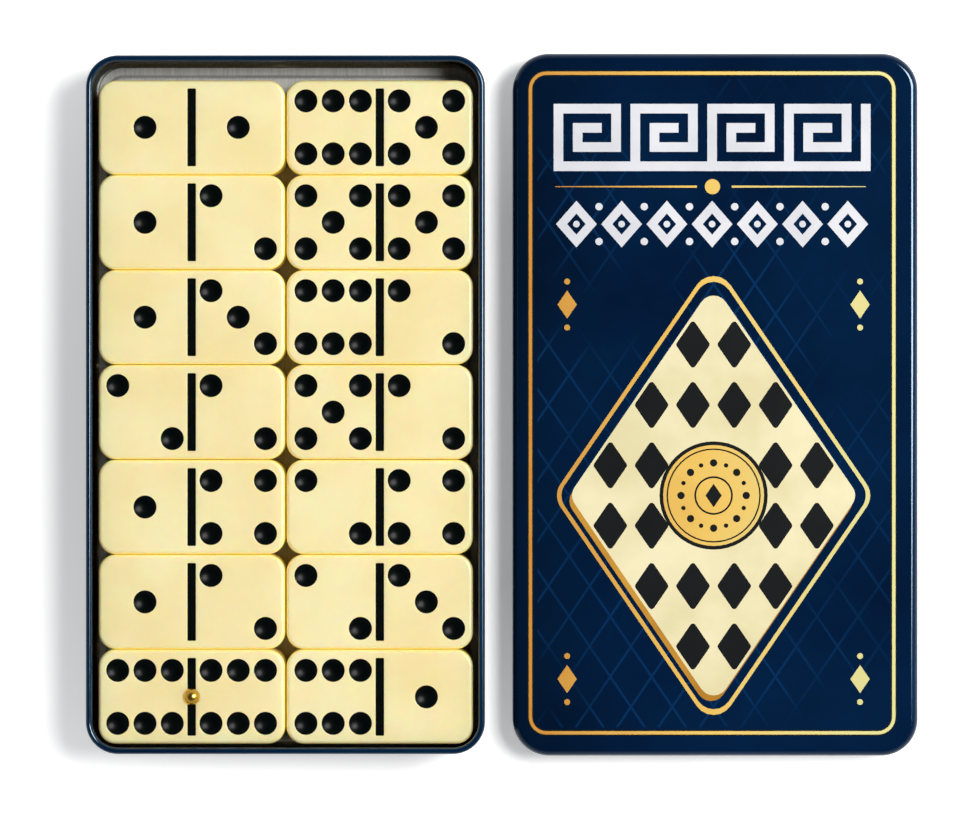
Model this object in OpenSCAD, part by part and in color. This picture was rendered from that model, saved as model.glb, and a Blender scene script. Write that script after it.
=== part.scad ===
// Domino storage box: a shallow pressed tin with a slip-on lid, holding a set of dominoes
// in two layers. The lid lies beside the tin, the way the box stands open on a table.
//
// Millimetres. Origin: centre of the tin's underside. +X points to the lid, +Y along the
// tin's length, +Z up.

/* [Tile] */
// Length of a domino
tile_l = 50; // [46:0.5:56]
// Width of a domino
tile_w = 25; // [24:0.5:28]
// Thickness of a domino
tile_h = 9.5; // [7:0.25:13]
// Corner radius of a domino, seen from above
tile_corner_r = 4.5; // [2:0.25:6]
// Rounding of the domino's long edges
tile_edge_r = 1; // [0.4:0.1:1.6]

/* [Pips and bar] */
// Width of a pip at the face
pip_d = 6.2; // [4:0.1:6.4]
// Depth of a pip at its middle
pip_depth = 0.9; // [0.4:0.05:1.4]
// Step between pips along the domino
pip_step_x = 7.3; // [6.6:0.1:7.8]
// Step between pips across the domino
pip_step_y = 7.1; // [6.6:0.1:7.4]
// Length of the bar between the halves
bar_l = 20.8; // [14:0.1:21.5]
// Width of the bar
bar_w = 2.2; // [1.2:0.1:2.8]
// Depth of the bar
bar_depth = 0.5; // [0.3:0.05:1]

/* [Spinner pin] */
// Width of the domed head
spinner_d = 4.6; // [3.6:0.1:5.4]
// Height of the domed head above the face
spinner_rise = 1.5; // [0.8:0.1:1.8]
// Width of the shank
shank_d = 2; // [1.4:0.1:2.6]
// Length of the shank below the face
shank_l = 5; // [2:0.25:6]
// Gap all round the shank in its hole
shank_gap = 0.04; // [0.02:0.01:0.1]

/* [Packing] */
// Gap between neighbouring dominoes
tile_gap = 0.45; // [0.3:0.05:1]
// Gap between the dominoes and the rim along each long side
side_gap = 1.5; // [1:0.1:4]
// Gap between the dominoes and the rim at the end that they are pushed to
snug_gap = 1; // [0.6:0.1:2]
// Finger gap between the dominoes and the rim at the other end
finger_gap = 5; // [4.6:0.2:12]
// Room between the upper dominoes and the rim
head_room = 2.9; // [2:0.1:6]

/* [Sheet and tin] */
// Thickness of the tinplate
sheet = 0.3; // [0.2:0.05:0.4]
// Corner radius of the tin at its rim, seen from above
tin_corner_r = 8.6; // [7.6:0.1:9]
// Thickness of the rolled rim
rim_d = 1.7; // [1.4:0.1:2]
// Outside bend radius where the wall meets the bottom
foot_bend_r = 2; // [1:0.1:2.4]
// Width of the flat ring that the tin stands on
foot_ring_w = 2; // [1.2:0.1:2.2]
// Rise of the bottom panel above the ring
panel_rise = 0.8; // [0.4:0.1:1]

/* [Lid] */
// Height of the lid
lid_h = 12; // [8:0.5:18]
// Gap between the tin's wall and the rolled edge of the lid
lid_gap = 0.35; // [0.2:0.05:0.8]
// Outside radius of the lid's shoulder
shoulder_r = 2; // [1.2:0.1:3]
// Thickness of the rolled edge at the foot of the skirt
hem_d = 0.9; // [0.8:0.05:1.2]
// Space on the table between the tin and the lid
table_gap = 7.5; // [2:0.5:40]

/* [Hidden] */
$fn = 64;
columns = 2;
// Number of pips on the left and right half of each domino, row by row from the finger gap
UPPER = [
    [1, 1], [6, 5],
    [1, 2], [5, 5],
    [1, 3], [6, 2],
    [2, 2], [5, 2],
    [1, 4], [2, 4],
    [1, 2], [2, 3],
    [6, 6], [6, 1]
];
LOWER = [
    [0, 1], [0, 2],
    [0, 3], [0, 4],
    [0, 5], [0, 6],
    [1, 5], [3, 3],
    [3, 4], [3, 5],
    [3, 6], [4, 4],
    [4, 5], [4, 6]
];
LAYERS = [LOWER, UPPER];
rows = len(UPPER) / columns;

// The one domino that carries the spinner pin
SPINNER_FACE = [6, 6];

// Places of the pips of one half, in steps along and across the domino
DIAGONAL = [[-1, 1], [1, -1]];
CORNERS = [[-1, 1], [1, 1], [-1, -1], [1, -1]];
MIDDLE = [[0, 0]];
SIDES = [[0, 1], [0, -1]];
PIPS = [
    [],
    MIDDLE,
    DIAGONAL,
    concat(DIAGONAL, MIDDLE),
    CORNERS,
    concat(CORNERS, MIDDLE),
    concat(CORNERS, SIDES)
];

// A domino is named after its two halves, and the second of two alike is the spare one
function is_repeat(faces, i) = len([for (k = [0:1:i - 1]) if (faces[k] == faces[i]) k]) > 0;
function tile_name(faces, i) =
    str("tile_", faces[i][0], "_", faces[i][1], is_repeat(faces, i) ? "_spare" : "");

// Mouth of the tin between its rolled rims, from the dominoes and the gaps round them
mouth_w = columns * tile_l + (columns - 1) * tile_gap + 2 * side_gap;
mouth_l = rows * tile_w + (rows - 1) * tile_gap + snug_gap + finger_gap;
floor_z = panel_rise + sheet;
rim_z = floor_z + len(LAYERS) * tile_h + head_room;

// Every wall is swept round the same four corner centres, so its profile is measured from them
span_x = mouth_w - 2 * (tin_corner_r - rim_d);
span_y = mouth_l - 2 * (tin_corner_r - rim_d);

// The lid shares the tin's corner centres, and its rolled edge clears the tin's wall all round
lid_corner_r = tin_corner_r + lid_gap + hem_d;
lid_x = span_x + tin_corner_r + table_gap + lid_corner_r;

// Radius of the ball that leaves a dent or dome of a given width and height
function cap_radius(width, height) = (pow(width / 2, 2) + pow(height, 2)) / (2 * height);

// Overshoot of cutters beyond the faces that they open
past = 1;

navy = [0.02, 0.1, 0.22];
ivory = [0.96, 0.91, 0.69];
ink = [0.06, 0.08, 0.07];
brass = [0.83, 0.62, 0.2];

// Sweeps a profile round a rectangle with round corners. The profile's x is the distance
// outwards from the corner centres and its y is the height.
module round_rectangle_sweep(run_x, run_y) {
    for (side = [0:3]) {
        across = side % 2 == 0 ? run_x : run_y;
        along = side % 2 == 0 ? run_y : run_x;
        rotate([0, 0, 90 * side])
            translate([across / 2, 0, 0]) {
                rotate([90, 0, 0])
                    linear_extrude(height = along, center = true)
                        children();
                translate([0, along / 2, 0])
                    rotate_extrude(angle = 90)
                        children();
            }
    }
}

// A bend or roll of sheet, seen end on, kept only in the quarters named by their signs
module sheet_roll(outer_r, quarters) {
    difference() {
        circle(r = outer_r);
        circle(r = outer_r - sheet);
        for (sx = [-1, 1], sy = [-1, 1])
            if (len([for (q = quarters) if (q == [sx, sy]) q]) == 0)
                translate([sx > 0 ? 0 : -outer_r - past, sy > 0 ? 0 : -outer_r - past])
                    square(outer_r + past);
    }
}

// Section of the tin: raised bottom panel, standing ring, bend, wall and a rim rolled inwards,
// so that the lacquered outside of the sheet ends on top and the lid slides over a flush wall
module tin_profile() {
    ring_out = tin_corner_r - foot_bend_r;
    ring_in = ring_out - foot_ring_w;
    panel_out = ring_in - panel_rise;
    translate([0, panel_rise])
        square([panel_out, sheet]);
    polygon([
        [panel_out, panel_rise],
        [ring_in, 0],
        [ring_in, sheet],
        [panel_out, panel_rise + sheet]
    ]);
    translate([ring_in, 0])
        square([foot_ring_w, sheet]);
    translate([ring_out, foot_bend_r])
        sheet_roll(foot_bend_r, [[1, -1]]);
    translate([tin_corner_r - sheet, foot_bend_r])
        square([sheet, rim_z - rim_d / 2 - foot_bend_r]);
    translate([tin_corner_r - rim_d / 2, rim_z - rim_d / 2])
        sheet_roll(rim_d / 2, [[1, 1], [-1, 1], [-1, -1]]);
}

module tin_base() {
    color(navy)
        union() {
            round_rectangle_sweep(span_x, span_y)
                tin_profile();
            translate([-span_x / 2, -span_y / 2, panel_rise])
                cube([span_x, span_y, sheet]);
        }
}

// Section of the lid: flat top, round shoulder, skirt and the inward roll at its foot
module lid_profile() {
    top_out = lid_corner_r - shoulder_r;
    translate([0, lid_h - sheet])
        square([top_out, sheet]);
    translate([top_out, lid_h - shoulder_r])
        sheet_roll(shoulder_r, [[1, 1]]);
    translate([lid_corner_r - sheet, hem_d / 2])
        square([sheet, lid_h - shoulder_r - hem_d / 2]);
    translate([lid_corner_r - hem_d / 2, hem_d / 2])
        sheet_roll(hem_d / 2, [[1, -1], [-1, -1], [-1, 1]]);
}

module tin_lid() {
    color(navy)
        translate([lid_x, 0, 0]) {
            round_rectangle_sweep(span_x, span_y)
                lid_profile();
            translate([-span_x / 2, -span_y / 2, lid_h - sheet])
                cube([span_x, span_y, sheet]);
        }
}

// Half section of a domino's rim, with both edges rounded
module tile_profile() {
    square([tile_corner_r - tile_edge_r, tile_h]);
    translate([0, tile_edge_r])
        square([tile_corner_r, tile_h - 2 * tile_edge_r]);
    for (z = [tile_edge_r, tile_h - tile_edge_r])
        translate([tile_corner_r - tile_edge_r, z])
            circle(r = tile_edge_r);
}

module tile_blank() {
    run_x = tile_l - 2 * tile_corner_r;
    run_y = tile_w - 2 * tile_corner_r;
    round_rectangle_sweep(run_x, run_y)
        tile_profile();
    translate([-run_x / 2, -run_y / 2, 0])
        cube([run_x, run_y, tile_h]);
}

// Dents of one half of a domino, cut from its face
module pip_dents(count) {
    ball_r = cap_radius(pip_d, pip_depth);
    for (place = PIPS[count])
        translate([place[0] * pip_step_x, place[1] * pip_step_y, tile_h - pip_depth + ball_r])
            sphere(r = ball_r);
}

module tile(faces) {
    difference() {
        color(ivory)
            tile_blank();
        color(ink) {
            translate([-tile_l / 4, 0, 0])
                pip_dents(faces[0]);
            translate([tile_l / 4, 0, 0])
                pip_dents(faces[1]);
            translate([-bar_w / 2, -bar_l / 2, tile_h - bar_depth])
                cube([bar_w, bar_l, bar_depth + past]);
        }
        if (faces == SPINNER_FACE)
            translate([0, 0, tile_h - shank_l - shank_gap])
                cylinder(d = shank_d + 2 * shank_gap, h = shank_l + shank_gap + past);
    }
}

// Domed brass pin, with the underside of its head on the domino's face
module spinner_pin() {
    ball_r = cap_radius(spinner_d, spinner_rise);
    intersection() {
        translate([0, 0, spinner_rise - ball_r])
            sphere(r = ball_r);
        cylinder(d = spinner_d, h = spinner_rise + past);
    }
    translate([0, 0, -shank_l])
        cylinder(d = shank_d, h = shank_l + spinner_rise / 2);
}

// Moves its children to a domino's place, counted row by row from the finger gap
module at_place(layer, i) {
    column = i % columns;
    row = rows - 1 - floor(i / columns);
    translate([
        (column - (columns - 1) / 2) * (tile_l + tile_gap),
        -mouth_l / 2 + snug_gap + tile_w / 2 + row * (tile_w + tile_gap),
        floor_z + layer * tile_h
    ])
        children();
}

module spinner() {
    color(brass)
        for (layer = [0:len(LAYERS) - 1], i = [0:len(LAYERS[layer]) - 1])
            if (LAYERS[layer][i] == SPINNER_FACE)
                at_place(layer, i)
                    translate([0, 0, tile_h])
                        spinner_pin();
}

tin_base();
tin_lid();
spinner();
for (layer = [0:len(LAYERS) - 1], i = [0:len(LAYERS[layer]) - 1])
    at_place(layer, i)
            tile(LAYERS[layer][i]);
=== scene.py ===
# %% [markdown]
# # A domino tin with its lid off
# The object is a shallow pressed tin with two layers of ivory dominoes, and its slip-on lid
# lying beside it. The packed CAD part gives the place and size of every piece. This script
# builds the finer surfaces over it: the soft edges, the rolled rims, the enamelled pips, the
# print on the lid and all the finishes. Lengths are written in millimetres and turned into
# metres where the vertices are made.

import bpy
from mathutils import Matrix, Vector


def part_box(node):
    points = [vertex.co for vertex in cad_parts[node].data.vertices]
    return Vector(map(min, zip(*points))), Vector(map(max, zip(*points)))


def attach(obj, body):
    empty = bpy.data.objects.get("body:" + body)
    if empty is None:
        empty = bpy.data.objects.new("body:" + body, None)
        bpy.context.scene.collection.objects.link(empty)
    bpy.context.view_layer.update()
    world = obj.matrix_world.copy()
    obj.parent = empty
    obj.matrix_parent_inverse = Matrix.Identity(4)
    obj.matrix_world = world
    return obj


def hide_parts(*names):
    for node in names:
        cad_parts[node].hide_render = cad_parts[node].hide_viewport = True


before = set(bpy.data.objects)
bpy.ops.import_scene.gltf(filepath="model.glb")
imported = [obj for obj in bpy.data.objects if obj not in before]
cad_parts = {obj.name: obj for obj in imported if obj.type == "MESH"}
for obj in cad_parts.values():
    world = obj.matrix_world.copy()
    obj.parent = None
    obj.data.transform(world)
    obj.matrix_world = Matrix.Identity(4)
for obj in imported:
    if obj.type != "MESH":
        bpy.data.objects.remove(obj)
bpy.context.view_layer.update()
print("nodes in the packed part:", len(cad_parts))

# %% [markdown]
# ## Unit and places
# A tin is drawn in millimetres, and Blender works in metres. Every length could be written in
# metres, but the small numbers would be hard to read, so one factor, MM, turns one into the
# other. Two helpers read the place and the size of a CAD node, so that each finer surface lies
# where its solid does.

# %% Libraries and the unit
import math

import bpy
from mathutils import Vector
from mathutils.geometry import tessellate_polygon

MM = 0.001


def centre_mm(node):
    """Middle of a CAD node in plan and the height of its underside, in millimetres."""
    low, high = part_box(node)
    return (low.x + high.x) / 2 / MM, (low.y + high.y) / 2 / MM, low.z / MM


def size_mm(node):
    """Width, length and height of a CAD node, in millimetres."""
    low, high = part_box(node)
    return tuple((high[i] - low[i]) / MM for i in range(3))


for node in ("tin_base", "tin_lid"):
    sides = [round(v, 2) for v in size_mm(node)]
    print(node, "measures", sides, "at", [round(v, 2) for v in centre_mm(node)])

# %% [markdown]
# ## Sections and shells
# Tin, lid and dominoes share one idea: a section is swept round a rectangle with round
# corners. A box with bevels would be quicker, but it can't follow an open rolled rim. A CAD
# sweep leaves facets and hard creases at this size, so each point of a section here also
# carries its own surface direction. Where two strokes of a section meet at one point with
# different directions the edge stays crisp, and along a bend the shading is exactly round.

# %% Sections
def arc(cx, cz, r, start, end, steps, hollow=False):
    """Points of a bend, each with its surface direction: (distance, height, out, up)."""
    sign = -1 if hollow else 1
    points = []
    for i in range(steps + 1):
        a = math.radians(start + (end - start) * i / steps)
        out = math.cos(a)
        up = math.sin(a)
        points.append((cx + r * out, cz + r * up, sign * out, sign * up))
    return points


def flat(x0, z0, x1, z1):
    """A straight stroke, which faces the right-hand side of its direction of travel."""
    length = math.hypot(x1 - x0, z1 - z0)
    out = (z1 - z0) / length
    up = -(x1 - x0) / length
    return [(x0, z0, out, up), (x1, z1, out, up)]


def plan(run_x, run_y, steps, cx=0.0, cy=0.0):
    """Stations round a rectangle with round corners, or round a circle if both runs are 0."""
    last = steps if run_x or run_y else steps - 1
    stations = []
    for k, (sx, sy) in enumerate([(1, 1), (-1, 1), (-1, -1), (1, -1)]):
        for i in range(last + 1):
            a = math.radians(90 * (k + i / steps))
            x = cx + sx * run_x / 2
            y = cy + sy * run_y / 2
            stations.append((x, y, math.cos(a), math.sin(a)))
    return stations


print("a quarter bend in 8 steps has", len(arc(0, 0, 2, 0, 90, 8)), "points")
print("a plan in 8 steps has", len(plan(10, 20, 8)), "stations")

# %% Shell builder
class Shell:
    """Collects the rings, bands and caps of one closed surface."""

    def __init__(self, x=0.0, y=0.0, z=0.0):
        self.at = (x, y, z)
        self.verts = []
        self.faces = []
        self.directions = []
        self.finish = []

    def point(self, x, y, z):
        self.verts.append(((self.at[0] + x) * MM, (self.at[1] + y) * MM, (self.at[2] + z) * MM))
        return len(self.verts) - 1

    def ring(self, stations, distance, height):
        return [self.point(x + distance * ux, y + distance * uy, height) for x, y, ux, uy in stations]

    def face(self, corners, directions, finish):
        self.faces.append(tuple(corners))
        self.directions.extend(directions)
        self.finish.append(finish)

    def sweep(self, stations, strokes):
        """Joins a ring for each point of the section and returns the first and the last ring.

        A stroke goes on from the ring where the one before it ended.
        """
        ring = self.ring(stations, *strokes[0][0][0][:2])
        first = ring
        for points, finish in strokes:
            for (_, _, out0, up0), (d1, z1, out1, up1) in zip(points, points[1:]):
                following = self.ring(stations, d1, z1)
                for j, (_, _, ux, uy) in enumerate(stations):
                    k = (j + 1) % len(stations)
                    vx, vy = stations[k][2:]
                    self.face(
                        (ring[j], ring[k], following[k], following[j]),
                        [
                            (out0 * ux, out0 * uy, up0),
                            (out0 * vx, out0 * vy, up0),
                            (out1 * vx, out1 * vy, up1),
                            (out1 * ux, out1 * uy, up1),
                        ],
                        finish,
                    )
                ring = following
        return first, ring

    def cap(self, ring, up, finish):
        """A flat many-sided face over one ring, facing up or down."""
        corners = ring if up > 0 else ring[::-1]
        self.face(corners, [(0, 0, up)] * len(ring), finish)

    def holed_cap(self, rings, finish, up=1):
        """A flat face with an outline and holes in it, facing up or down."""
        loops = [[Vector(self.verts[i]) for i in ring] for ring in rings]
        numbers = [i for ring in rings for i in ring]
        for triangle in tessellate_polygon(loops):
            corners = [numbers[i] for i in triangle]
            a, b, c = (Vector(self.verts[i]) for i in corners)
            if (b - a).cross(c - a).z * up < 0:
                corners.reverse()
            self.face(corners, [(0, 0, up)] * 3, finish)

    def fan(self, ring, stations, height, out, up, finish):
        """Closes a ring to a point in its middle, for the bottom of a dent or the top of a dome."""
        tip = self.point(stations[0][0], stations[0][1], height)
        for j, (_, _, ux, uy) in enumerate(stations):
            k = (j + 1) % len(stations)
            vx, vy = stations[k][2:]
            self.face(
                (ring[j], ring[k], tip),
                [(out * ux, out * uy, up), (out * vx, out * vy, up), (0, 0, 1)],
                finish,
            )

    def build(self, name, materials):
        """Makes the Blender object, with the surface directions as its normals."""
        mesh = bpy.data.meshes.new(name)
        mesh.from_pydata(self.verts, [], self.faces)
        for material in materials:
            mesh.materials.append(material)
        mesh.polygons.foreach_set("material_index", self.finish)
        mesh.polygons.foreach_set("use_smooth", [True] * len(self.faces))
        mesh.normals_split_custom_set([Vector(d).normalized() for d in self.directions])
        mesh.update()
        piece = bpy.data.objects.new(name, mesh)
        bpy.context.scene.collection.objects.link(piece)
        return piece


print("a shell has", [name for name in vars(Shell) if not name.startswith("_")])

# %% [markdown]
# ## Finishes
# Every surface here is moulded, coated, printed or rolled, and none is one flat colour. Images
# could carry the variation, but they show their pixels close up. All finishes are procedural
# instead and use the object's own coordinates, so each domino shows its own part of one pattern.

# %% Colours and plain values
def linear(r, g, b):
    """Turns a colour picked from a screen, 0 to 255, into the renderer's linear values."""
    out = []
    for value in (r, g, b):
        c = value / 255
        out.append(c / 12.92 if c <= 0.04045 else ((c + 0.055) / 1.055) ** 2.4)
    return (*out, 1.0)


def new_finish(name, rough, metallic=0.0, coat=0.0, coat_rough=0.05, specular=0.5):
    """A material with its plain values set, and its tree and shader to build on."""
    material = bpy.data.materials.new(name)
    material.use_nodes = True
    shader = material.node_tree.nodes["Principled BSDF"]
    shader.inputs["Roughness"].default_value = rough
    shader.inputs["Metallic"].default_value = metallic
    shader.inputs["Coat Weight"].default_value = coat
    shader.inputs["Coat Roughness"].default_value = coat_rough
    shader.inputs["Specular IOR Level"].default_value = specular
    return material, material.node_tree, shader


print("half grey on a screen is", round(linear(128, 128, 128)[0], 3), "in the renderer")

# %% Places and patterns
def add(tree, kind, **settings):
    """Adds a node and sets its options."""
    node = tree.nodes.new(kind)
    for key, value in settings.items():
        setattr(node, key, value)
    return node


def object_coords(tree):
    return add(tree, "ShaderNodeTexCoord").outputs["Object"]


def place_in(tree):
    """The object's own coordinates, with an output for each of X, Y and Z."""
    node = add(tree, "ShaderNodeSeparateXYZ")
    tree.links.new(object_coords(tree), node.inputs[0])
    return node.outputs


def noise(tree, scale, detail=2.0, rough=0.5, vector=None):
    node = add(tree, "ShaderNodeTexNoise")
    node.inputs["Scale"].default_value = scale
    node.inputs["Detail"].default_value = detail
    node.inputs["Roughness"].default_value = rough
    tree.links.new(vector if vector is not None else object_coords(tree), node.inputs["Vector"])
    return node.outputs["Fac"]


def stretch(tree, x, y, z):
    node = add(tree, "ShaderNodeMapping")
    node.inputs["Scale"].default_value = (x, y, z)
    tree.links.new(object_coords(tree), node.inputs["Vector"])
    return node.outputs["Vector"]


print("patterns use the object's own coordinates, in metres")

# %% Sums, mixes and bumps
def blend_colours(tree, factor, first, second, low=0.0, high=1.0):
    """Goes from the first colour to the second as the factor goes from low to high."""
    ramp = add(tree, "ShaderNodeValToRGB")
    ramp.color_ramp.elements[0].position = low
    ramp.color_ramp.elements[0].color = first
    ramp.color_ramp.elements[1].position = high
    ramp.color_ramp.elements[1].color = second
    tree.links.new(factor, ramp.inputs["Fac"])
    return ramp.outputs["Color"]


def calc(tree, operation, first, second=None):
    """One sum in a finish. Each side is a number or the output of another node."""
    node = add(tree, "ShaderNodeMath", operation=operation)
    for socket, value in zip(node.inputs, (first, second)):
        if isinstance(value, (int, float)):
            socket.default_value = value
        elif value is not None:
            tree.links.new(value, socket)
    return node.outputs[0]


def mix_colours(tree, factor, first, second):
    """Mixes two colours, each given as a value or as the output of another node."""
    node = add(tree, "ShaderNodeMix", data_type="RGBA")
    tree.links.new(factor, node.inputs["Factor"])
    for socket, value in ((node.inputs[6], first), (node.inputs[7], second)):
        if isinstance(value, tuple):
            socket.default_value = value
        else:
            tree.links.new(value, socket)
    return node.outputs[2]


def fade(tree, value, start, end):
    """0 up to the start, 1 from the end, and even in between."""
    node = add(tree, "ShaderNodeMapRange")
    node.inputs["From Min"].default_value = start
    node.inputs["From Max"].default_value = end
    tree.links.new(value, node.inputs["Value"])
    return node.outputs["Result"]


def bump(tree, shader, height, strength, distance_mm):
    node = add(tree, "ShaderNodeBump")
    node.inputs["Strength"].default_value = strength
    node.inputs["Distance"].default_value = distance_mm * MM
    tree.links.new(height, node.inputs["Height"])
    tree.links.new(node.outputs["Normal"], shader.inputs["Normal"])


print("screen white is", linear(255, 255, 255)[:3])

# %% [markdown]
# The dominoes are cast urea, polished all over: a warm ivory that lets a little light in, with
# faint cloudy streaks from the moulding. A long subsurface radius would make them look like
# wax, so a short one warms the rounded edges and the colour does the rest. The clouds are slow
# noise between two near colours. Sides and rounded edges, picked by which way they face, get a
# deeper cream: partly their own tone, partly a painted warm glow of light passing into the gaps.

# %% Ivory
FACE_TONES = (linear(242, 226, 169), linear(247, 235, 186))
SIDE_TONE_AND_WARM_GLOW = linear(250, 222, 142)

ivory, tree, shader = new_finish("ivory", rough=0.3, coat=0.6, coat_rough=0.1, specular=0.4)
clouds = noise(tree, 45, detail=3.0)
faces = blend_colours(tree, clouds, *FACE_TONES, 0.35, 0.65)
turned = add(tree, "ShaderNodeSeparateXYZ")
tree.links.new(add(tree, "ShaderNodeNewGeometry").outputs["Normal"], turned.inputs[0])
upward = fade(tree, turned.outputs["Z"], 0.45, 0.97)
# Partly painted light: faces turned sideways take a deeper, warmer cream.
tree.links.new(mix_colours(tree, upward, SIDE_TONE_AND_WARM_GLOW, faces), shader.inputs["Base Color"])
shader.inputs["Subsurface Weight"].default_value = 0.7
shader.inputs["Subsurface Radius"].default_value = (1.0, 0.55, 0.15)
shader.inputs["Subsurface Scale"].default_value = 3.5 * MM
bump(tree, shader, noise(tree, 900, detail=1.0), 0.05, 0.05)
print("ivory faces:", [round(v, 3) for v in FACE_TONES[0][:3]])

# %% [markdown]
# Light passes through the dominoes into the narrow gaps between them, so the gaps look golden,
# and those beside the tin's wall stay black. Many more bounces of light might bring that out,
# and would cost much time. Here a domino's sides give back a little warm light of their own,
# but only where they face another domino, and less further down.

# %% Golden gaps
GLOW_TONE = linear(236, 222, 64)
NO_GLOW = (0.0, 0.0, 0.0, 1.0)
GLOW_STRENGTH = 0.2
GLOW_FULL = 2 * MM
GLOW_ENDS = 14 * MM
WALL_DARK = 0.5 * MM
WALL_CLEAR = 3 * MM

tree.links.new(mix_colours(tree, upward, GLOW_TONE, NO_GLOW), shader.inputs["Emission Color"])
place = place_in(tree)
block_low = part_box("tile_6_6")[0]
block_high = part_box("tile_6_5")[1]
strength = fade(tree, place["Z"], block_high.z - GLOW_ENDS, block_high.z - GLOW_FULL)
for axis, low, high in (("X", block_low.x, block_high.x), ("Y", block_low.y, block_high.y)):
    half = (high - low) / 2
    from_mid = calc(tree, "ABSOLUTE", calc(tree, "SUBTRACT", place[axis], (low + high) / 2))
    inside = fade(tree, from_mid, half - WALL_DARK, half - WALL_CLEAR)
    strength = calc(tree, "MULTIPLY", strength, inside)
tree.links.new(calc(tree, "MULTIPLY", strength, GLOW_STRENGTH), shader.inputs["Emission Strength"])
print("block of dominoes, mm:", [round((block_high[i] - block_low[i]) / MM, 2) for i in range(3)])

# %% [markdown]
# The pips and bars are sunk and filled with black enamel by spraying and wiping, so they are
# glossy, slightly uneven and end sharply at the ivory. Black faces of the domino's own mesh
# give that sharp end, where a painted pattern would blur. A fine bump keeps the gloss alive.

# %% Black enamel
enamel, tree, shader = new_finish("black_enamel", rough=0.27, specular=0.08)
blacks = blend_colours(tree, noise(tree, 400), linear(2, 6, 6), linear(6, 11, 10), 0.3, 0.7)
tree.links.new(blacks, shader.inputs["Base Color"])
bump(tree, shader, noise(tree, 1500, detail=1.0), 0.08, 0.05)
print("enamel is made of", len(tree.nodes), "nodes")

# %% [markdown]
# The outside of the tin and lid is roller-coated in navy on the flat sheet before pressing, then
# varnished. The coat shows a very fine orange peel, and the pigment is a little uneven. One
# glossy layer could do, but a coat over a softer base gives the double sheen of varnish on
# paint. Tin and lid get two tones from one recipe, as two runs of the coating line would give.

# %% Navy lacquer
FINE_PEEL = 2200


def lacquer(name, dark, light):
    material, tree, shader = new_finish(name, rough=0.13, coat=0.8, coat_rough=0.07, specular=0.3)
    shader.inputs["Specular Tint"].default_value = (0.08, 0.62, 1.0, 1.0)
    cloud = noise(tree, 22, detail=4.0, rough=0.6)
    ground = blend_colours(tree, cloud, dark, light, 0.3, 0.72)
    tree.links.new(ground, shader.inputs["Base Color"])
    bump(tree, shader, noise(tree, FINE_PEEL, detail=1.0), 0.04, 0.02)
    return material, tree, shader, ground


base_navy = lacquer("navy_lacquer_tin", linear(1, 22, 46), linear(5, 36, 64))[0]
lid_navy, tree, shader, ground = lacquer("navy_lacquer_lid", linear(1, 19, 47), linear(2, 32, 67))
print("lacquers:", base_navy.name, "and", lid_navy.name)

# %% [markdown]
# The lid's ground carries a tone-on-tone lattice, a shade lighter than the navy. It is printed
# in the same pass, so it belongs to the lacquer and not to the inks on top. Its lines run
# parallel to the edges of the large lozenge that the print section puts on the lid. They come
# from two sums of the place on the lid, which is lighter than a mesh of hairlines, and they
# come and go in soft patches.

# %% Lattice in the lid's ground
PANEL_AT = (-0.5, -24.5)
PANEL_HALF = (39.0, 57.0)
CELLS = 7
FRAME_AT = (-0.9, 0.45)
FRAME_HALF = (49.0, 88.95)
LATTICE_MARGIN = 1.5

lid_low, lid_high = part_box("tin_lid")
lid_mid = ((lid_low.x + lid_high.x) / 2 / MM, (lid_low.y + lid_high.y) / 2 / MM)
place = place_in(tree)
from_x = calc(tree, "SUBTRACT", place["X"], (lid_mid[0] + PANEL_AT[0]) * MM)
from_y = calc(tree, "SUBTRACT", place["Y"], (lid_mid[1] + PANEL_AT[1]) * MM)
across = calc(tree, "MULTIPLY", from_x, CELLS / 2 / (PANEL_HALF[0] * MM))
along = calc(tree, "MULTIPLY", from_y, CELLS / 2 / (PANEL_HALF[1] * MM))
slants = []
for operation in ("ADD", "SUBTRACT"):
    slant = calc(tree, "ADD", calc(tree, operation, across, along), 0.5)
    slants.append(fade(tree, calc(tree, "PINGPONG", slant, 0.5), 0.045, 0.018))
lattice = calc(tree, "MAXIMUM", *slants)
cell = [round(2 * half / CELLS, 2) for half in PANEL_HALF]
print("lattice cell, mm:", cell[0], "by", cell[1])

# %% [markdown]
# The lattice stops a little inside the frame line. Under it the ground darkens towards the
# lid's left edge, a painted shade. Both are factors of the same kind, made from the place on
# the lid, so no second material is needed.

# %% Lattice edge and painted shade in the lid's ground
patches = fade(tree, noise(tree, 26, detail=1.0), 0.42, 0.62)
inside_x = calc(tree, "LESS_THAN", calc(tree, "ABSOLUTE", from_x), (FRAME_HALF[0] - LATTICE_MARGIN) * MM)
from_mid = calc(tree, "SUBTRACT", place["Y"], (lid_mid[1] + FRAME_AT[1]) * MM)
inside_y = calc(tree, "LESS_THAN", calc(tree, "ABSOLUTE", from_mid), (FRAME_HALF[1] - LATTICE_MARGIN) * MM)
shown = calc(tree, "MULTIPLY", calc(tree, "MULTIPLY", inside_x, inside_y), patches)
tone = calc(tree, "MULTIPLY", calc(tree, "MULTIPLY", lattice, shown), 0.85)
# Painted shade: the ground is darker along the lid's left edge, fading out over 30 mm.
out_of_painted_shade = fade(tree, place["X"], lid_low.x, lid_low.x + 30 * MM)
painted_shade_mix = calc(tree, "ADD", calc(tree, "MULTIPLY", out_of_painted_shade, 0.6), 0.4)
shaded_ground = mix_colours(tree, painted_shade_mix, linear(1, 12, 24), ground)
tree.links.new(mix_colours(tree, tone, shaded_ground, linear(7, 48, 92)), shader.inputs["Base Color"])
print("the lid's lacquer is made of", len(tree.nodes), "nodes")
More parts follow.
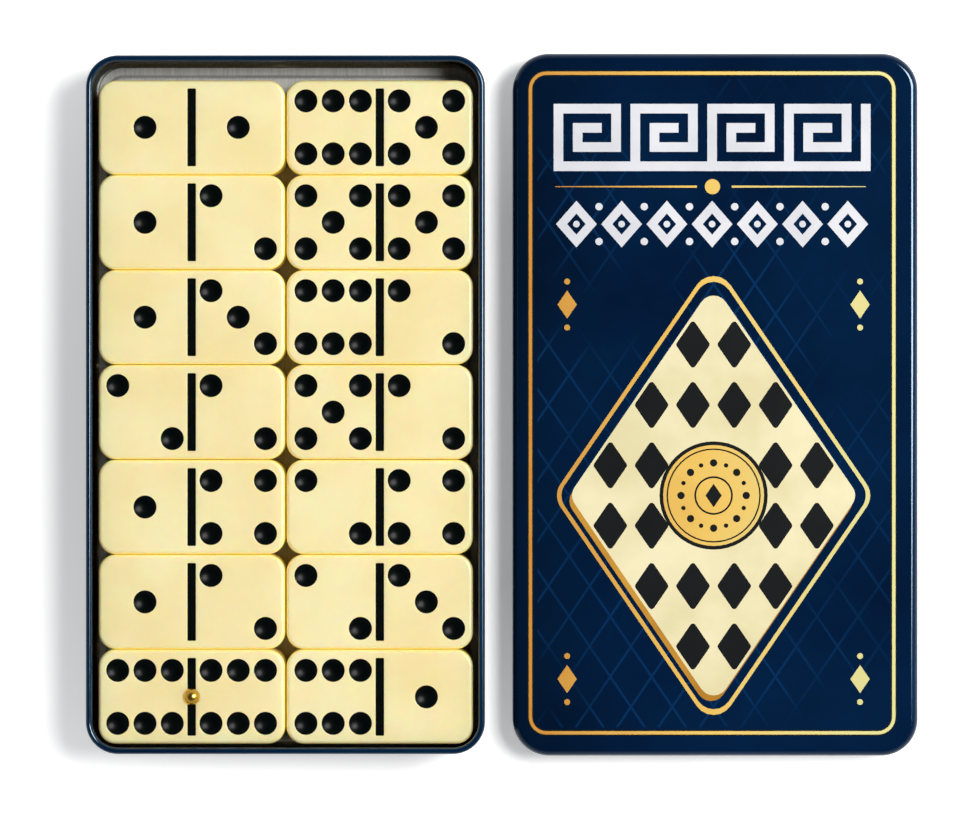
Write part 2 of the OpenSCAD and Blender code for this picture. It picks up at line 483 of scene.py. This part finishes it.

# %% [markdown]
# Inside, the sheet is bare tinplate. The flat bottom keeps the satin grain of cold rolling,
# which runs along the sheet. The walls are pulled through the die, which makes them smoother
# and streaked upwards; their metal is also made dark, a painted shade for the narrow gaps.
# Noise that is stretched far along one direction gives both grains, with no drawn lines that would repeat.

# %% Tinplate
def bare_metal(name, rough, metallic, dark, light, stretched):
    material, tree, shader = new_finish(name, rough=rough, metallic=metallic, specular=0.5)
    grain = noise(tree, 1.0, detail=3.0, vector=stretch(tree, *stretched))
    tree.links.new(blend_colours(tree, grain, dark, light, 0.3, 0.7), shader.inputs["Base Color"])
    bump(tree, shader, grain, 0.06, 0.03)
    return material


ROLLED_ALONG_Y = (2600, 60, 2600)
DRAWN_UPWARDS = (1500, 1500, 40)
tinplate = bare_metal(
    "tinplate_floor", 0.42, 0.3, linear(194, 195, 194), linear(218, 219, 219), ROLLED_ALONG_Y
)
# Painted shade: the walls' metal is made dark for the narrow gaps beside the dominoes.
shaded_wall = bare_metal(
    "tinplate_wall_shaded", 0.3, 0.95, linear(96, 97, 94), linear(124, 125, 122), DRAWN_UPWARDS
)
print("bare metals:", tinplate.name, "and", shaded_wall.name)

# %% [markdown]
# The spinner pin is turned brass, polished to a soft gloss. Its two brass tones are mixed by a
# fine noise, because so small a dome shows little more than its highlight.

# %% Brass
brass, tree, shader = new_finish("polished_brass", rough=0.24, metallic=1.0)
brasses = blend_colours(tree, noise(tree, 700), linear(244, 186, 66), linear(252, 206, 96), 0.3, 0.7)
tree.links.new(brasses, shader.inputs["Base Color"])
finishes = (ivory, enamel, base_navy, lid_navy, tinplate, shaded_wall, brass)
print("finishes so far:", [material.name for material in finishes])

# %% [markdown]
# ## The tin
# One sheet is drawn into a tray: a raised bottom panel, a flat ring that it stands on, a bend,
# the wall, and a rim rolled inwards so that no raw edge shows. It could be a thickened surface,
# but then the roll would be a solid bead. The section goes from the middle of the underside, up
# the outside, round the open roll and back down the inside. The lacquer is on the outer side of
# the sheet only, so it turns over the rim and ends at the raw edge.

# %% Tin measures
SHEET = 0.3
TIN_R = 8.6
RIM = 1.7
BEND = 2.0
RING = 2.0
RISE = 0.8
SOFT = 0.5
LACQUER, BARE, WALL = 0, 1, 2

tin_w, tin_l, rim_z = size_mm("tin_base")
run_x = tin_w - 2 * TIN_R
run_y = tin_l - 2 * TIN_R
ring_out = TIN_R - BEND
ring_in = ring_out - RING
panel_out = ring_in - RISE
roll_x = TIN_R - RIM / 2
roll_z = rim_z - RIM / 2
print("the roll's middle is", round(roll_z, 2), "mm above the table")

# %% Tin section
# The slope between panel and ring leans 45 degrees. A soft bend leads into it, and one out of it
tuck = SOFT * math.tan(math.radians(22.5))
reach = tuck * math.cos(math.radians(45))
tin_strokes = [
    (arc(panel_out - tuck, RISE - SOFT, SOFT, 90, 45, 4, hollow=True), LACQUER),
    (flat(panel_out + reach, RISE - reach, ring_in - reach, reach), LACQUER),
    (arc(ring_in + tuck, SOFT, SOFT, 225, 270, 4), LACQUER),
    (flat(ring_in + tuck, 0, ring_out, 0), LACQUER),
    (arc(ring_out, BEND, BEND, -90, 0, 8), LACQUER),
    (flat(TIN_R, BEND, TIN_R, roll_z), LACQUER),
    (arc(roll_x, roll_z, RIM / 2, 0, 270, 26), LACQUER),
    (flat(roll_x, roll_z - RIM / 2, roll_x, roll_z - RIM / 2 + SHEET), WALL),
    (arc(roll_x, roll_z, RIM / 2 - SHEET, 270, 0, 22, hollow=True), WALL),
    (flat(TIN_R - SHEET, roll_z, TIN_R - SHEET, BEND), WALL),
    (arc(ring_out, BEND, BEND - SHEET, 0, -90, 8, hollow=True), WALL),
    (flat(ring_out, SHEET, ring_in + tuck, SHEET), BARE),
    (arc(ring_in + tuck, SHEET + SOFT, SOFT, 270, 225, 4, hollow=True), BARE),
    (flat(ring_in - reach, SHEET + reach, panel_out + reach, RISE + SHEET - reach), BARE),
    (arc(panel_out - tuck, RISE + SHEET - SOFT, SOFT, 45, 90, 4), BARE),
]

tin_stations = plan(run_x, run_y, 24)
tin = Shell()
underside, inside = tin.sweep(tin_stations, tin_strokes)
tin.cap(underside, -1, LACQUER)
tin.cap(inside, 1, BARE)
tin_piece = tin.build("tin_shell", [base_navy, tinplate, shaded_wall])
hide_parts("tin_base")
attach(tin_piece, "tin")
print("tin faces:", len(tin.faces))

# %% [markdown]
# ## The lid
# The lid is drawn from the same sheet, with a flat top, a round shoulder, a short skirt and a
# thin inward roll at its foot. It goes round the same rectangle as the tin with a larger
# radius, so the play between them is even in the corners too. Its section starts under the
# middle of the top, goes down the inside, round the roll and back up the outside.

# %% Lid section
HEM = 0.9
SHOULDER = 2.0

lid_w, lid_l, lid_h = size_mm("tin_lid")
lid_x, lid_y, _ = centre_mm("tin_lid")
lid_r = (lid_w - run_x) / 2
top_out = lid_r - SHOULDER
hem_x = lid_r - HEM / 2
hem_z = HEM / 2
lid_strokes = [
    (arc(top_out, lid_h - SHOULDER, SHOULDER - SHEET, 90, 0, 8, hollow=True), WALL),
    (flat(lid_r - SHEET, lid_h - SHOULDER, lid_r - SHEET, hem_z), WALL),
    (arc(hem_x, hem_z, HEM / 2 - SHEET, 0, -270, 14, hollow=True), WALL),
    (flat(hem_x, hem_z + HEM / 2 - SHEET, hem_x, 2 * hem_z), WALL),
    (arc(hem_x, hem_z, HEM / 2, -270, 0, 18), LACQUER),
    (flat(lid_r, hem_z, lid_r, lid_h - SHOULDER), LACQUER),
    (arc(top_out, lid_h - SHOULDER, SHOULDER, 0, 90, 12), LACQUER),
]

lid_stations = plan(run_x, run_y, 24)
lid = Shell(lid_x, lid_y)
under_top, top = lid.sweep(lid_stations, lid_strokes)
lid.cap(under_top, -1, BARE)
lid.cap(top, 1, LACQUER)
lid_piece = lid.build("lid_shell", [lid_navy, tinplate, shaded_wall])
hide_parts("tin_lid")
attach(lid_piece, "lid")
print("lid faces:", len(lid.faces))

# %% [markdown]
# ## Print on the lid
# The lid is printed before pressing, under the same varnish as the navy. A gold frame line runs
# round it. Inside are a meander band, a thin gold rule with a dot, a row of lozenges, and one
# large lozenge with black checks and a gold disc. A picture file could carry all this, but each
# ink is a set of closed patches here, a few hundredths of a millimetre proud of the lid. That
# keeps every edge sharp at any distance.

# %% Outlines
def circle(cx, cy, r, count=48):
    turn = 2 * math.pi / count
    return [(cx + r * math.cos(i * turn), cy + r * math.sin(i * turn)) for i in range(count)]


def rounded(cx, cy, half_x, half_y, r):
    """A rectangle with round corners of radius r."""
    stations = plan(2 * (half_x - r), 2 * (half_y - r), 8, cx, cy)
    return [(x + r * ux, y + r * uy) for x, y, ux, uy in stations]


def lozenge(cx, cy, half_x, half_y):
    return [(cx + half_x, cy), (cx, cy + half_y), (cx - half_x, cy), (cx, cy - half_y)]


def soft_lozenge(cx, cy, half_x, half_y, r, steps=6):
    """A lozenge with round corners of radius r."""
    lean = math.atan2(half_x, half_y)
    wide = math.pi / 2 - lean
    ends = [(half_x, 0, 0, lean), (0, half_y, 90, wide), (-half_x, 0, 180, lean), (0, -half_y, 270, wide)]
    points = []
    for ex, ey, middle, spread in ends:
        back = r / math.sin(math.pi / 2 - spread)
        length = math.hypot(ex, ey)
        ox = cx + ex - ex / length * back
        oy = cy + ey - ey / length * back
        for i in range(steps + 1):
            a = math.radians(middle) + spread * (2 * i / steps - 1)
            points.append((ox + r * math.cos(a), oy + r * math.sin(a)))
    return points


def ribbon(points, width):
    """A band of one width along a path of right-angled turns, with square ends."""
    left = []
    right = []
    for i, (x, y) in enumerate(points):
        before = points[max(i - 1, 0)]
        after = points[min(i + 1, len(points) - 1)]
        ax, ay = x - before[0], y - before[1]
        bx, by = after[0] - x, after[1] - y
        if i == 0:
            ax, ay = bx, by
        if i == len(points) - 1:
            bx, by = ax, ay
        la = math.hypot(ax, ay)
        lb = math.hypot(bx, by)
        turning = 1 if ax * by - ay * bx else 0
        nx = -ay / la - turning * by / lb
        ny = ax / la + turning * bx / lb
        left.append((x + nx * width / 2, y + ny * width / 2))
        right.append((x - nx * width / 2, y - ny * width / 2))
    return left + right[::-1]


print("a soft lozenge has", len(soft_lozenge(0, 0, 39, 57, 4)), "points")

# %% [markdown]
# Each ink becomes one piece. A patch is a thin slab that starts a little under the lid's top,
# so that no light gets in below it, and inks that lie over each other stand at rising heights.

# %% Patches of ink
INK_FOOT = -0.06


class Print:
    """Closed patches of one ink on the lid's top, in millimetres from the lid's middle."""

    def __init__(self, name, ink, proud):
        self.name = name
        self.ink = ink
        self.proud = proud
        self.shell = Shell(lid_x, lid_y, lid_h)

    def patch(self, *loops):
        """One patch: its outline first, then the holes in it."""
        upper = []
        lower = []
        for i, loop in enumerate(loops):
            pairs = zip(loop, loop[1:] + loop[:1])
            area = sum(x0 * y1 - x1 * y0 for (x0, y0), (x1, y1) in pairs)
            turned = loop if (area > 0) == (i == 0) else loop[::-1]
            high = [self.shell.point(x, y, self.proud) for x, y in turned]
            low = [self.shell.point(x, y, INK_FOOT) for x, y in turned]
            upper.append(high)
            lower.append(low)
            for j in range(len(turned)):
                k = (j + 1) % len(turned)
                side = (turned[k][1] - turned[j][1], turned[j][0] - turned[k][0], 0)
                self.shell.face((low[j], low[k], high[k], high[j]), [side] * 4, 0)
        self.shell.holed_cap(upper, 0)
        self.shell.holed_cap(lower, 0, up=-1)

    def finish(self):
        piece = self.shell.build(self.name, [self.ink])
        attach(piece, "lid")
        print(self.name, "patches of ink, faces:", len(self.shell.faces))


print("ink goes down to", INK_FOOT, "mm under the lid's top, at", round(lid_h, 2), "mm")

# %% [markdown]
# A cool white, the ivory of the dominoes, black, and an amber for the shaded edge of the panel
# are plain inks with a slight mottle. The gold ink shifts from orange on the left to pale
# yellow on the right: a painted sheen, as the lamp on the right would give. A metallic ink
# would mirror the dark room. The frame line has a painted highlight of brighter gold along its middle.

# %% Inks
def ink(name, first, second):
    """A plain printing ink, with a slight mottle between two near colours."""
    material, tree, shader = new_finish(name, rough=0.5, coat=0.9, coat_rough=0.07, specular=0.1)
    mottle = noise(tree, 60, detail=3.0)
    tree.links.new(blend_colours(tree, mottle, first, second, 0.35, 0.65), shader.inputs["Base Color"])
    bump(tree, shader, noise(tree, FINE_PEEL, detail=1.0), 0.04, 0.02)
    return material


def gold_print(name, left, middle, right):
    """Gold ink that turns from one colour at the lid's left edge to another at its right edge, a painted
    sheen.
    """
    material, tree, shader = new_finish(
        name, rough=0.45, metallic=0.15, coat=0.9, coat_rough=0.07, specular=0.1
    )
    # Painted sheen: the gold grows paler towards the lamp on the right.
    painted_sheen_ramp = fade(tree, place_in(tree)["X"], (lid_x - 50) * MM, (lid_x + 50) * MM)
    sheen = calc(tree, "ADD", painted_sheen_ramp, calc(tree, "MULTIPLY", noise(tree, 90), 0.25))
    gold = blend_colours(tree, sheen, left, right, 0.1, 1.0)
    gold.node.color_ramp.elements.new(0.6).color = middle
    tree.links.new(gold, shader.inputs["Base Color"])
    return material


gold_ink = gold_print("gold_ink", linear(198, 134, 50), linear(229, 189, 94), linear(214, 206, 138))
# Painted highlight ink for the middle of the frame line.
highlight_gold_ink = gold_print(
    "gold_ink_painted_highlight", linear(208, 144, 58), linear(236, 202, 110), linear(224, 219, 150)
)
white_ink = ink("white_ink", linear(214, 215, 221), linear(228, 229, 234))
ivory_ink = ink("ivory_ink", linear(226, 215, 168), linear(240, 230, 188))
black_ink = ink("black_ink", linear(5, 9, 10), linear(10, 15, 16))
amber_ink = ink("amber_ink", linear(176, 122, 34), linear(206, 152, 54))
inks = (gold_ink, highlight_gold_ink, white_ink, ivory_ink, black_ink, amber_ink)
print("inks:", [material.name for material in inks])

# %% [markdown]
# The frame line is a gold line over a wider black one, with a painted highlight of bright gold
# along its middle, so it looks embossed. Real relief so thin would vanish in a picture. Three
# closed bands, one over the other, show it from any distance. The rules taper away from the dot, as pen
# strokes do.

# %% Frame line and rules
CORNER = 4.3
DARK_HALF = 0.8
GOLD_HALF = 0.47
SHINE_HALF = 0.17
RULE_Y = 58.8
THIN = 0.1
THICK = 0.29

dark = Print("print_dark", black_ink, proud=0.010)
golden = Print("print_gold", gold_ink, proud=0.020)
# Painted highlight: a bright gold line along the middle of the frame line.
shine = Print("print_shine", highlight_gold_ink, proud=0.028)
frame_x, frame_y = FRAME_AT
for printed, half in ((dark, DARK_HALF), (golden, GOLD_HALF), (shine, SHINE_HALF)):
    printed.patch(
        rounded(frame_x, frame_y, FRAME_HALF[0] + half, FRAME_HALF[1] + half, CORNER + half),
        rounded(frame_x, frame_y, FRAME_HALF[0] - half, FRAME_HALF[1] - half, CORNER - half),
    )
golden.patch(circle(-0.8, RULE_Y, 2.05))
for x0, half0, x1, half1 in ((-43.3, THIN, -5.0, THICK), (4.4, THICK, 40.6, THIN)):
    golden.patch([(x0, RULE_Y - half0), (x1, RULE_Y - half1), (x1, RULE_Y + half1), (x0, RULE_Y + half0)])
print("frame line", 2 * FRAME_HALF[0], "by", 2 * FRAME_HALF[1], "mm")

# %% [markdown]
# A meander and a row of lozenges are old border ornaments, and fill two bands of white across
# the lid. Each key of the meander is one bent ribbon. The path is written once, in steps of the
# grid that such borders are drawn on, and repeats.

# %% Meander band
STEP = 5.18
BOLD = STEP / 2
KEYS = 4
KEY_PATH = [(0, 0.25), (0, 3), (3, 3), (3, 1), (1, 1), (1, 2), (2.25, 2)]
MEANDER_Y = 63.0

white = Print("print_white", white_ink, proud=0.020)
steps_long = 4 * KEYS
key_x = frame_x - steps_long * STEP / 2
key_y = MEANDER_Y + BOLD / 2
end_x = key_x + steps_long * STEP
white.patch(ribbon([(key_x - BOLD / 2, key_y), (end_x + BOLD / 2, key_y)], BOLD))
for key in range(KEYS):
    path = [(key_x + (4 * key + a) * STEP, key_y + b * STEP) for a, b in KEY_PATH]
    white.patch(ribbon(path, BOLD))
white.patch(ribbon([(end_x, key_y + 0.25 * STEP), (end_x, key_y + 3.25 * STEP)], BOLD))
print("meander", round(steps_long * STEP + BOLD, 1), "mm long")

# %% Row of lozenges
ROW_Y = 48.7
ROW_STEP = 12.2
ROW_COUNT = 7
LOZENGE_HALF = (5.5, 6.3)
HOLE_HALF = (2.5, 2.86)

for i in range(ROW_COUNT):
    cx = frame_x + (i - (ROW_COUNT - 1) / 2) * ROW_STEP
    white.patch(lozenge(cx, ROW_Y, *LOZENGE_HALF), lozenge(cx, ROW_Y, *HOLE_HALF))
    white.patch(circle(cx, ROW_Y, 0.9, 24))
    if i < ROW_COUNT - 1:
        for dy in (-4.7, 4.7):
            white.patch(circle(cx + ROW_STEP / 2, ROW_Y + dy, 1.0, 24))
row_length = (ROW_COUNT - 1) * ROW_STEP + 2 * LOZENGE_HALF[0]
print("row of", ROW_COUNT, "lozenges,", round(row_length, 1), "mm long")

# %% [markdown]
# The large lozenge stands in the middle of the lid, as an inlaid panel would: an ivory field
# with a shaded amber edge at its lower left, a gold border, rows of black checks that leave the
# middle free, and a turned gold disc there. Checks and lattice share one count of cells, so
# their lines agree.

# %% Large lozenge
panel_x, panel_y = PANEL_AT
panel_w, panel_h = PANEL_HALF
amber = Print("print_amber", amber_ink, proud=0.012)
amber.patch(soft_lozenge(panel_x - 0.7, panel_y - 1.5, panel_w, panel_h, 4.0))
field = Print("print_ivory", ivory_ink, proud=0.020)
field.patch(soft_lozenge(panel_x, panel_y, panel_w, panel_h, 4.0))
golden.patch(
    soft_lozenge(panel_x, panel_y, panel_w + 4.4, panel_h + 6.4, 5.5),
    soft_lozenge(panel_x, panel_y, panel_w + 3.1, panel_h + 4.5, 5.0),
)
print("panel", 2 * panel_w, "by", 2 * panel_h, "mm")

# %% Checks
CHECK_SHARE = 0.84
CLEAR_MIDDLE = 11

checks = Print("print_checks", black_ink, proud=0.028)
check_count = 0
for i in range(CELLS):
    for j in range(CELLS):
        cx = panel_x + (i + j - CELLS + 1) * panel_w / CELLS
        cy = panel_y + (i - j) * panel_h / CELLS
        if (i + j) % 2 == 1 and math.hypot(cx - panel_x, cy - panel_y) > CLEAR_MIDDLE:
            half_x = panel_w / CELLS * CHECK_SHARE
            half_y = panel_h / CELLS * CHECK_SHARE
            checks.patch(soft_lozenge(cx, cy, half_x, half_y, 0.8, 3))
            check_count += 1
checks.patch(circle(panel_x, panel_y, 14.6))
print("checks:", check_count)

# %% Disc
DOTS = 16

disc = Print("print_disc", gold_ink, proud=0.034)
disc.patch(circle(panel_x, panel_y, 13.6))
marks = Print("print_marks", black_ink, proud=0.040)
marks.patch(circle(panel_x, panel_y, 12.7), circle(panel_x, panel_y, 12.3))
marks.patch(circle(panel_x, panel_y, 5.2), circle(panel_x, panel_y, 4.7))
marks.patch(lozenge(panel_x, panel_y, 2.2, 3.2))
for i in range(DOTS):
    a = math.radians(360 / DOTS * i)
    dot_r = 1.0 if i % 2 == 0 else 0.6
    marks.patch(circle(panel_x + 8.8 * math.cos(a), panel_y + 8.8 * math.sin(a), dot_r, 20))
print("disc with", DOTS, "dots")

# %% Small lozenges, and all inks laid on
for sx in (-1, 1):
    for sy in (-1, 1):
        cx = panel_x + sx * 39.5
        cy = panel_y + sy * 50.5 + 1.0
        golden.patch(lozenge(cx, cy, 2.6, 3.8))
        for dy in (-6.2, 6.2):
            golden.patch(circle(cx, cy + dy, 0.8, 20))
for printed in (dark, golden, shine, white, amber, field, checks, disc, marks):
    printed.finish()

# %% [markdown]
# ## The dominoes
# Each domino is a thick slab with round corners and soft long edges. Its face has shallow
# spherical dents for the pips and a groove across the middle. A narrow ivory lip, left by
# polishing, rounds the edge of every dent and of the groove. Cutting balls out of a slab would
# leave hard edges and stray slivers, so the dents are swept like the rest, and the face is
# filled in between them. The CAD dominoes leave room all round for their lifts. Here each is
# 0.15 mm fuller on either side across, so the rows almost touch.

# %% Domino measures
TILE = (50.0, 25.3, 9.5)
TILE_R = 4.5
EDGE = 1.0
LIP = 0.2
PIP_D = 6.3
PIP_DEPTH = 0.9
PIP_STEP = (7.3, 7.1)
HALF_STEP = 12.5
BAR = (2.2, 20.8, 0.5)
IVORY, ENAMEL = 0, 1

DIAGONAL = [(-1, 1), (1, -1)]
CORNERS = [(-1, 1), (1, 1), (-1, -1), (1, -1)]
SIDES = [(0, 1), (0, -1)]
MIDDLE = [(0, 0)]
PIPS = [[], MIDDLE, DIAGONAL, DIAGONAL + MIDDLE, CORNERS, CORNERS + MIDDLE, CORNERS + SIDES]
print("pips of each count:", [len(spots) for spots in PIPS])

# %% Sections of slab, dent and groove
face_z = TILE[2]
tile_stations = plan(TILE[0] - 2 * TILE_R, TILE[1] - 2 * TILE_R, 8)
tile_strokes = [
    (arc(TILE_R - EDGE, EDGE, EDGE, -90, 0, 4), IVORY),
    (flat(TILE_R, EDGE, TILE_R, face_z - EDGE), IVORY),
    (arc(TILE_R - EDGE, face_z - EDGE, EDGE, 0, 90, 6), IVORY),
]

# Section of a dent, from the face inwards. The lip is an arc that meets the ball's curve
ball_r = ((PIP_D / 2) ** 2 + PIP_DEPTH ** 2) / (2 * PIP_DEPTH)
ball_z = face_z - PIP_DEPTH + ball_r
lip_x = math.sqrt((ball_r + LIP) ** 2 - (ball_z - face_z + LIP) ** 2)
lean = math.degrees(math.atan2(ball_z - face_z + LIP, lip_x))
dent_strokes = [
    (arc(lip_x, face_z - LIP, LIP, 90, 180 - lean, 3), IVORY),
    (arc(0, ball_z, ball_r, -lean, -85, 5, hollow=True), ENAMEL),
]

# Section of the groove: its lip, a steep side down to just above the bend, and the bend into
# the floor. Distances count outwards from the groove's plan
GROOVE_R = 0.25
GROOVE_LIP = 0.1
GROOVE_TOP = 0.28
GROOVE_FOOT = 0.2
FOOT_BEND = 0.15
groove_z = face_z - BAR[2]
groove_strokes = [
    (arc(GROOVE_TOP + GROOVE_LIP, face_z - GROOVE_LIP, GROOVE_LIP, 90, 170, 3), IVORY),
    (flat(GROOVE_TOP, face_z - 0.083, GROOVE_FOOT, groove_z + 0.16), ENAMEL),
    (arc(GROOVE_FOOT - FOOT_BEND, groove_z + FOOT_BEND, FOOT_BEND, 0, -90, 3, hollow=True), ENAMEL),
]
print("a dent's ball has a radius of", round(ball_r, 2), "mm")

# %% [markdown]
# A name such as tile_4_6 says how many pips each half has, so one function makes all 28. Each
# piece replaces its CAD solid and rides on its own body, because every domino can be lifted.

# %% All dominoes
def domino(name, left, right):
    """Builds one domino over its CAD solid and returns how many faces it has."""
    slab = Shell(*centre_mm(name))
    bottom, edge = slab.sweep(tile_stations, tile_strokes)
    slab.cap(bottom, -1, IVORY)
    rings = [edge]
    for count, middle in ((left, -HALF_STEP), (right, HALF_STEP)):
        for across, along in PIPS[count]:
            around = plan(0, 0, 8, middle + across * PIP_STEP[0], along * PIP_STEP[1])
            outer, inner = slab.sweep(around, dent_strokes)
            out, up = dent_strokes[-1][0][-1][2:]
            slab.fan(inner, around, ball_z - ball_r, out, up, ENAMEL)
            rings.append(outer)
    around = plan(BAR[0] - 2 * GROOVE_R, BAR[1] - 2 * GROOVE_R, 3)
    outer, inner = slab.sweep(around, groove_strokes)
    slab.cap(inner, 1, ENAMEL)
    rings.append(outer)
    slab.holed_cap(rings, IVORY)
    piece = slab.build("domino" + name[len("tile"):], [ivory, enamel])
    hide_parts(name)
    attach(piece, name)
    return len(slab.faces)


face_counts = {}
for node in sorted(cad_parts):
    if node.startswith("tile_"):
        halves = node.split("_")
        face_counts[node] = domino(node, int(halves[1]), int(halves[2]))
print("dominoes:", len(face_counts), "most faces:", max(face_counts.values()))

# %% [markdown]
# ## The spinner pin
# The double six carries a domed brass pin, pressed into its middle, on which the domino spins
# on the table. It is turned on a lathe, so its section is revolved in the same way: a short
# shank in the groove, the flat underside of the head, a tiny rounded edge and the dome.

# %% Spinner
PIN_HEAD = 4.6
PIN_RISE = 1.5
PIN_EDGE = 0.12
SHANK_R = 1.0
SHANK_DEPTH = 0.45

spinner_x, spinner_y, _ = centre_mm("spinner")
dome_r = ((PIN_HEAD / 2) ** 2 + PIN_RISE ** 2) / (2 * PIN_RISE)
edge_angle = math.degrees(math.asin((PIN_HEAD / 2) / dome_r))
edge_x = PIN_HEAD / 2 - PIN_EDGE
around = plan(0, 0, 12)
pin = Shell(spinner_x, spinner_y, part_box("tile_6_6")[1].z / MM)
pin_strokes = [
    (flat(SHANK_R, -SHANK_DEPTH, SHANK_R, 0.0), 0),
    (flat(SHANK_R, 0.0, edge_x, 0.0), 0),
    (arc(edge_x, PIN_EDGE, PIN_EDGE, -90, 90 - edge_angle, 5), 0),
    (arc(0, PIN_RISE - dome_r, dome_r, 90 - edge_angle + 4, 86, 9), 0),
]
low_ring, high_ring = pin.sweep(around, pin_strokes)
pin.cap(low_ring, -1, 0)
out, up = pin_strokes[-1][0][-1][2:]
pin.fan(high_ring, around, PIN_RISE, out, up, 0)
pin_piece = pin.build("spinner_pin", [brass])
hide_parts("spinner")
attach(pin_piece, "tile_6_6")
print("pin faces:", len(pin.faces))

# %% [markdown]
# ## Table, light and camera
# The box lies on a white sweep. More light would wash it out to white but bleach the ivory too.
# Instead the table adds a plain share of white for the camera alone. The share grows away from
# the middle of the view, so the soft shadows stay and the ground runs out to white.

# %% Table
TABLE_HALF = 3.0
VIEW_MIDDLE = (0.052, 0.0, 0.0)
LEAST_WHITE = 0.27

floor_mesh = bpy.data.meshes.new("table_top")
corners = [(sx * TABLE_HALF, sy * TABLE_HALF, 0) for sx, sy in ((-1, -1), (1, -1), (1, 1), (-1, 1))]
floor_mesh.from_pydata(corners, [], [(0, 1, 2, 3)])
floor = bpy.data.objects.new("table_top", floor_mesh)
bpy.context.scene.collection.objects.link(floor)
white_sweep = bpy.data.materials.new("white_sweep")
white_sweep.use_nodes = True
tree = white_sweep.node_tree
tree.nodes.clear()
output = add(tree, "ShaderNodeOutputMaterial")
diffuse = add(tree, "ShaderNodeBsdfDiffuse")
diffuse.inputs["Color"].default_value = (0.9, 0.9, 0.9, 1)
white_light = add(tree, "ShaderNodeEmission")
distance = add(tree, "ShaderNodeVectorMath", operation="DISTANCE")
tree.links.new(object_coords(tree), distance.inputs[0])
distance.inputs[1].default_value = VIEW_MIDDLE
rays = add(tree, "ShaderNodeLightPath")
outward = fade(tree, distance.outputs["Value"], 0.05, 0.33)
share = calc(tree, "ADD", calc(tree, "MULTIPLY", outward, 1 - LEAST_WHITE), LEAST_WHITE)
seen_white = calc(tree, "MULTIPLY", rays.outputs["Is Camera Ray"], share)
tree.links.new(seen_white, white_light.inputs["Strength"])
both = add(tree, "ShaderNodeAddShader")
tree.links.new(diffuse.outputs[0], both.inputs[0])
tree.links.new(white_light.outputs[0], both.inputs[1])
tree.links.new(both.outputs[0], output.inputs["Surface"])
floor_mesh.materials.append(white_sweep)
print("table", 2 * TABLE_HALF, "m wide")

# %% [markdown]
# The room is bright only towards the horizon. Overhead it is dark, so the flat navy lid, which
# mirrors what is straight above it, stays deep. An even sky would lay a grey veil on it. The
# camera itself sees plain white.

# %% Room light
HORIZON = (0.5, 0.51, 0.54, 1)
OVERHEAD = (0.025, 0.025, 0.03, 1)

world = bpy.data.worlds.new("room")
bpy.context.scene.world = world
world.use_nodes = True
tree = world.node_tree
tree.nodes.clear()
output = add(tree, "ShaderNodeOutputWorld")
sky = add(tree, "ShaderNodeBackground")
direction = add(tree, "ShaderNodeSeparateXYZ")
tree.links.new(add(tree, "ShaderNodeTexCoord").outputs["Generated"], direction.inputs[0])
room = blend_colours(tree, direction.outputs["Z"], HORIZON, OVERHEAD, 0.4, 0.8)
rays = add(tree, "ShaderNodeLightPath")
seen = mix_colours(tree, rays.outputs["Is Camera Ray"], room, (1.0, 1.0, 1.0, 1.0))
tree.links.new(seen, sky.inputs["Color"])
tree.links.new(sky.outputs[0], output.inputs["Surface"])
print("room from", HORIZON[0], "at the horizon to", OVERHEAD[0], "overhead")

# %% [markdown]
# A large soft lamp high on the right gives most of the light. It stands far enough out that the
# flat lid doesn't mirror it to the camera, but the rims, the shoulder, the pips and the brass pin
# do. A small lamp, lower on the same side, adds the sharp sparks.

# %% Lamps
AIM = (0.05, 0.0, 0.0)


def soft_lamp(name, place, width, watts, colour):
    """A square lamp that points at the middle of the view."""
    data = bpy.data.lights.new(name, "AREA")
    data.shape = "SQUARE"
    data.size = width
    data.energy = watts
    data.color = colour
    lamp = bpy.data.objects.new(name, data)
    lamp.location = place
    lamp.rotation_euler = (Vector(AIM) - Vector(place)).to_track_quat("-Z", "Y").to_euler()
    bpy.context.scene.collection.objects.link(lamp)
    return lamp


large = soft_lamp("large_lamp", (1.12, 0.34, 2.0), 0.9, 52.5, (1.0, 0.99, 0.97))
small = soft_lamp("small_lamp", (0.95, 0.3, 0.95), 0.2, 1.8, (1.0, 0.98, 0.95))
print("lamps at", [tuple(round(v, 2) for v in lamp.location) for lamp in (large, small)])

# %% [markdown]
# The camera hangs straight over the gap between tin and lid, 1.4 m above the table. A view
# without perspective would hide the walls of the tin, and this long lens from some way off
# shows just a little of them.

# %% Camera
camera_data = bpy.data.cameras.new("camera")
camera_data.sensor_width = 36.0
camera_data.lens = 193.0
camera_data.clip_end = 20.0
camera = bpy.data.objects.new("camera", camera_data)
camera.location = (0.0521, -0.0009, 1.40)
camera.rotation_euler = (0.0, 0.0, 0.0)
bpy.context.scene.collection.objects.link(camera)
bpy.context.scene.camera = camera
bpy.context.scene.view_settings.view_transform = "Standard"
print("camera", round(camera.location.z, 2), "m up, with a lens of", camera_data.lens, "mm")

# %% [markdown]
